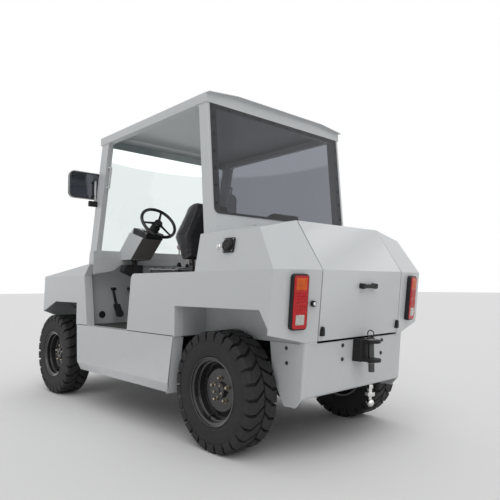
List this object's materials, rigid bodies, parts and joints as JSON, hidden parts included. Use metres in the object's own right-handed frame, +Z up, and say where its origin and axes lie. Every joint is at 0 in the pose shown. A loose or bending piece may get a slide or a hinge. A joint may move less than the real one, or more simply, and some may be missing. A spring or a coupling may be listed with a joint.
{
  "type": "airport baggage tug",
  "caption": "Battery driven towing tractor with an open two-seat cab, chamfered sheet body, large lugged tyres, rear towing jaw with pin and a rear hood over the battery",
  "frame": {"origin": "on the floor under the centre of the tug's length and width", "axes": "+X forward, towards the nose; +Y to the driver's left; +Z up"},
  "size_m": [3.545, 1.81, 2.238],
  "materials": {
    "body_paint": "pale grey-white body paint, satin",
    "chassis_paint": "black chassis paint, slightly worn",
    "rim_paint": "black painted steel wheel",
    "tyre_rubber": "worn tyre rubber, slightly dusty",
    "floor_mat": "ribbed floor mat",
    "clear_glass": "clear laminated glass",
    "tinted_glass": "grey tinted glass",
    "interior_plastic": "grained dark plastic",
    "black_plastic": "black moulded plastic",
    "seat_vinyl": "black seat vinyl",
    "lamp_lens": "moulded lamp lens",
    "lamp_glass": "clear headlamp lens",
    "pin_steel": "worn steel"
  },
  "bodies": {
    "chassis": {"chassis_frame": "chassis_paint", "rear_axle": "chassis_paint", "front_axle": "chassis_paint", "floor_plate": "floor_mat", "side_skirts": "body_paint", "side_panel_left": "body_paint", "side_panel_right": "body_paint", "corner_panels": "body_paint", "arch_liners": "body_paint", "front_fenders": "body_paint", "nose_panel": "body_paint", "cowl": "body_paint", "cab_side_left": "body_paint", "cab_side_right": "body_paint", "cab_rear_frame": "body_paint", "roof_panel": "body_paint", "windscreen": "clear_glass", "rear_window": "tinted_glass", "rear_bumper": "body_paint", "front_bumper": "body_paint", "seat_base": "interior_plastic", "seat_cushions": "seat_vinyl", "seat_backs": "seat_vinyl", "console": "interior_plastic", "steering_column": "interior_plastic", "controls": "black_plastic", "mirrors": "black_plastic", "tail_lamps": "lamp_lens", "headlamps": "lamp_glass", "charge_socket": "black_plastic", "hitch": "chassis_paint", "hitch_pin": "pin_steel", "battery_pack": "interior_plastic", "leaf_springs": "chassis_paint"},
    "hood": {"rear_hood": "body_paint", "hood_fittings": "black_plastic"},
    "steering": {"steering_wheel": "black_plastic"},
    "steer_left": {"knuckle_left": "chassis_paint"},
    "steer_right": {"knuckle_right": "chassis_paint"},
    "steer_link": {"tie_rod": "chassis_paint"},
    "wheel_rear_left": {"tyre_rear_left": "tyre_rubber", "rim_rear_left": "rim_paint"},
    "wheel_rear_right": {"tyre_rear_right": "tyre_rubber", "rim_rear_right": "rim_paint"},
    "wheel_front_left": {"tyre_front_left": "tyre_rubber", "rim_front_left": "rim_paint"},
    "wheel_front_right": {"tyre_front_right": "tyre_rubber", "rim_front_right": "rim_paint"}
  },
  "joints": [
    {"name": "hood_hinge", "type": "hinge", "parent": "chassis", "child": "hood", "pos_m": [-1.0595, 0, 1.37], "axis": [0, 1, 0], "range_deg": [0, 60]},
    {"name": "steer_left_turn", "type": "hinge", "parent": "chassis", "child": "steer_left", "pos_m": [1.2455, 0.452, 0.355], "axis": [0, 0, 1], "range_deg": [-33, 33]},
    {"name": "steer_right_turn", "type": "hinge", "parent": "chassis", "child": "steer_right", "pos_m": [1.2455, -0.452, 0.355], "axis": [0, 0, 1], "range_deg": [-33, 33]},
    {"name": "tie_rod_turn", "type": "hinge", "parent": "steer_left", "child": "steer_link", "pos_m": [1.0955, 0.452, 0.355], "axis": [0, 0, 1], "range_deg": [-33, 33]},
    {"name": "steering_wheel_turn", "type": "hinge", "parent": "chassis", "child": "steering", "pos_m": [-0.0025, 0.395, 1.479], "axis": [-0.8192, 0, 0.5736], "range_deg": [-280, 280]},
    {"name": "rear_left_roll", "type": "hinge", "parent": "chassis", "child": "wheel_rear_left", "pos_m": [-1.0795, 0.6145, 0.355], "axis": [0, 1, 0], "continuous": true},
    {"name": "rear_right_roll", "type": "hinge", "parent": "chassis", "child": "wheel_rear_right", "pos_m": [-1.0795, -0.6145, 0.355], "axis": [0, 1, 0], "continuous": true},
    {"name": "front_left_roll", "type": "hinge", "parent": "steer_left", "child": "wheel_front_left", "pos_m": [1.2455, 0.6145, 0.355], "axis": [0, 1, 0], "continuous": true},
    {"name": "front_right_roll", "type": "hinge", "parent": "steer_right", "child": "wheel_front_right", "pos_m": [1.2455, -0.6145, 0.355], "axis": [0, 1, 0], "continuous": true}
  ],
  "couplings": [
    {"joint": "steer_right_turn", "follows": "steer_left_turn", "ratio": 1},
    {"joint": "tie_rod_turn", "follows": "steer_left_turn", "ratio": -1},
    {"joint": "steering_wheel_turn", "follows": "steer_left_turn", "ratio": 8}
  ]
}
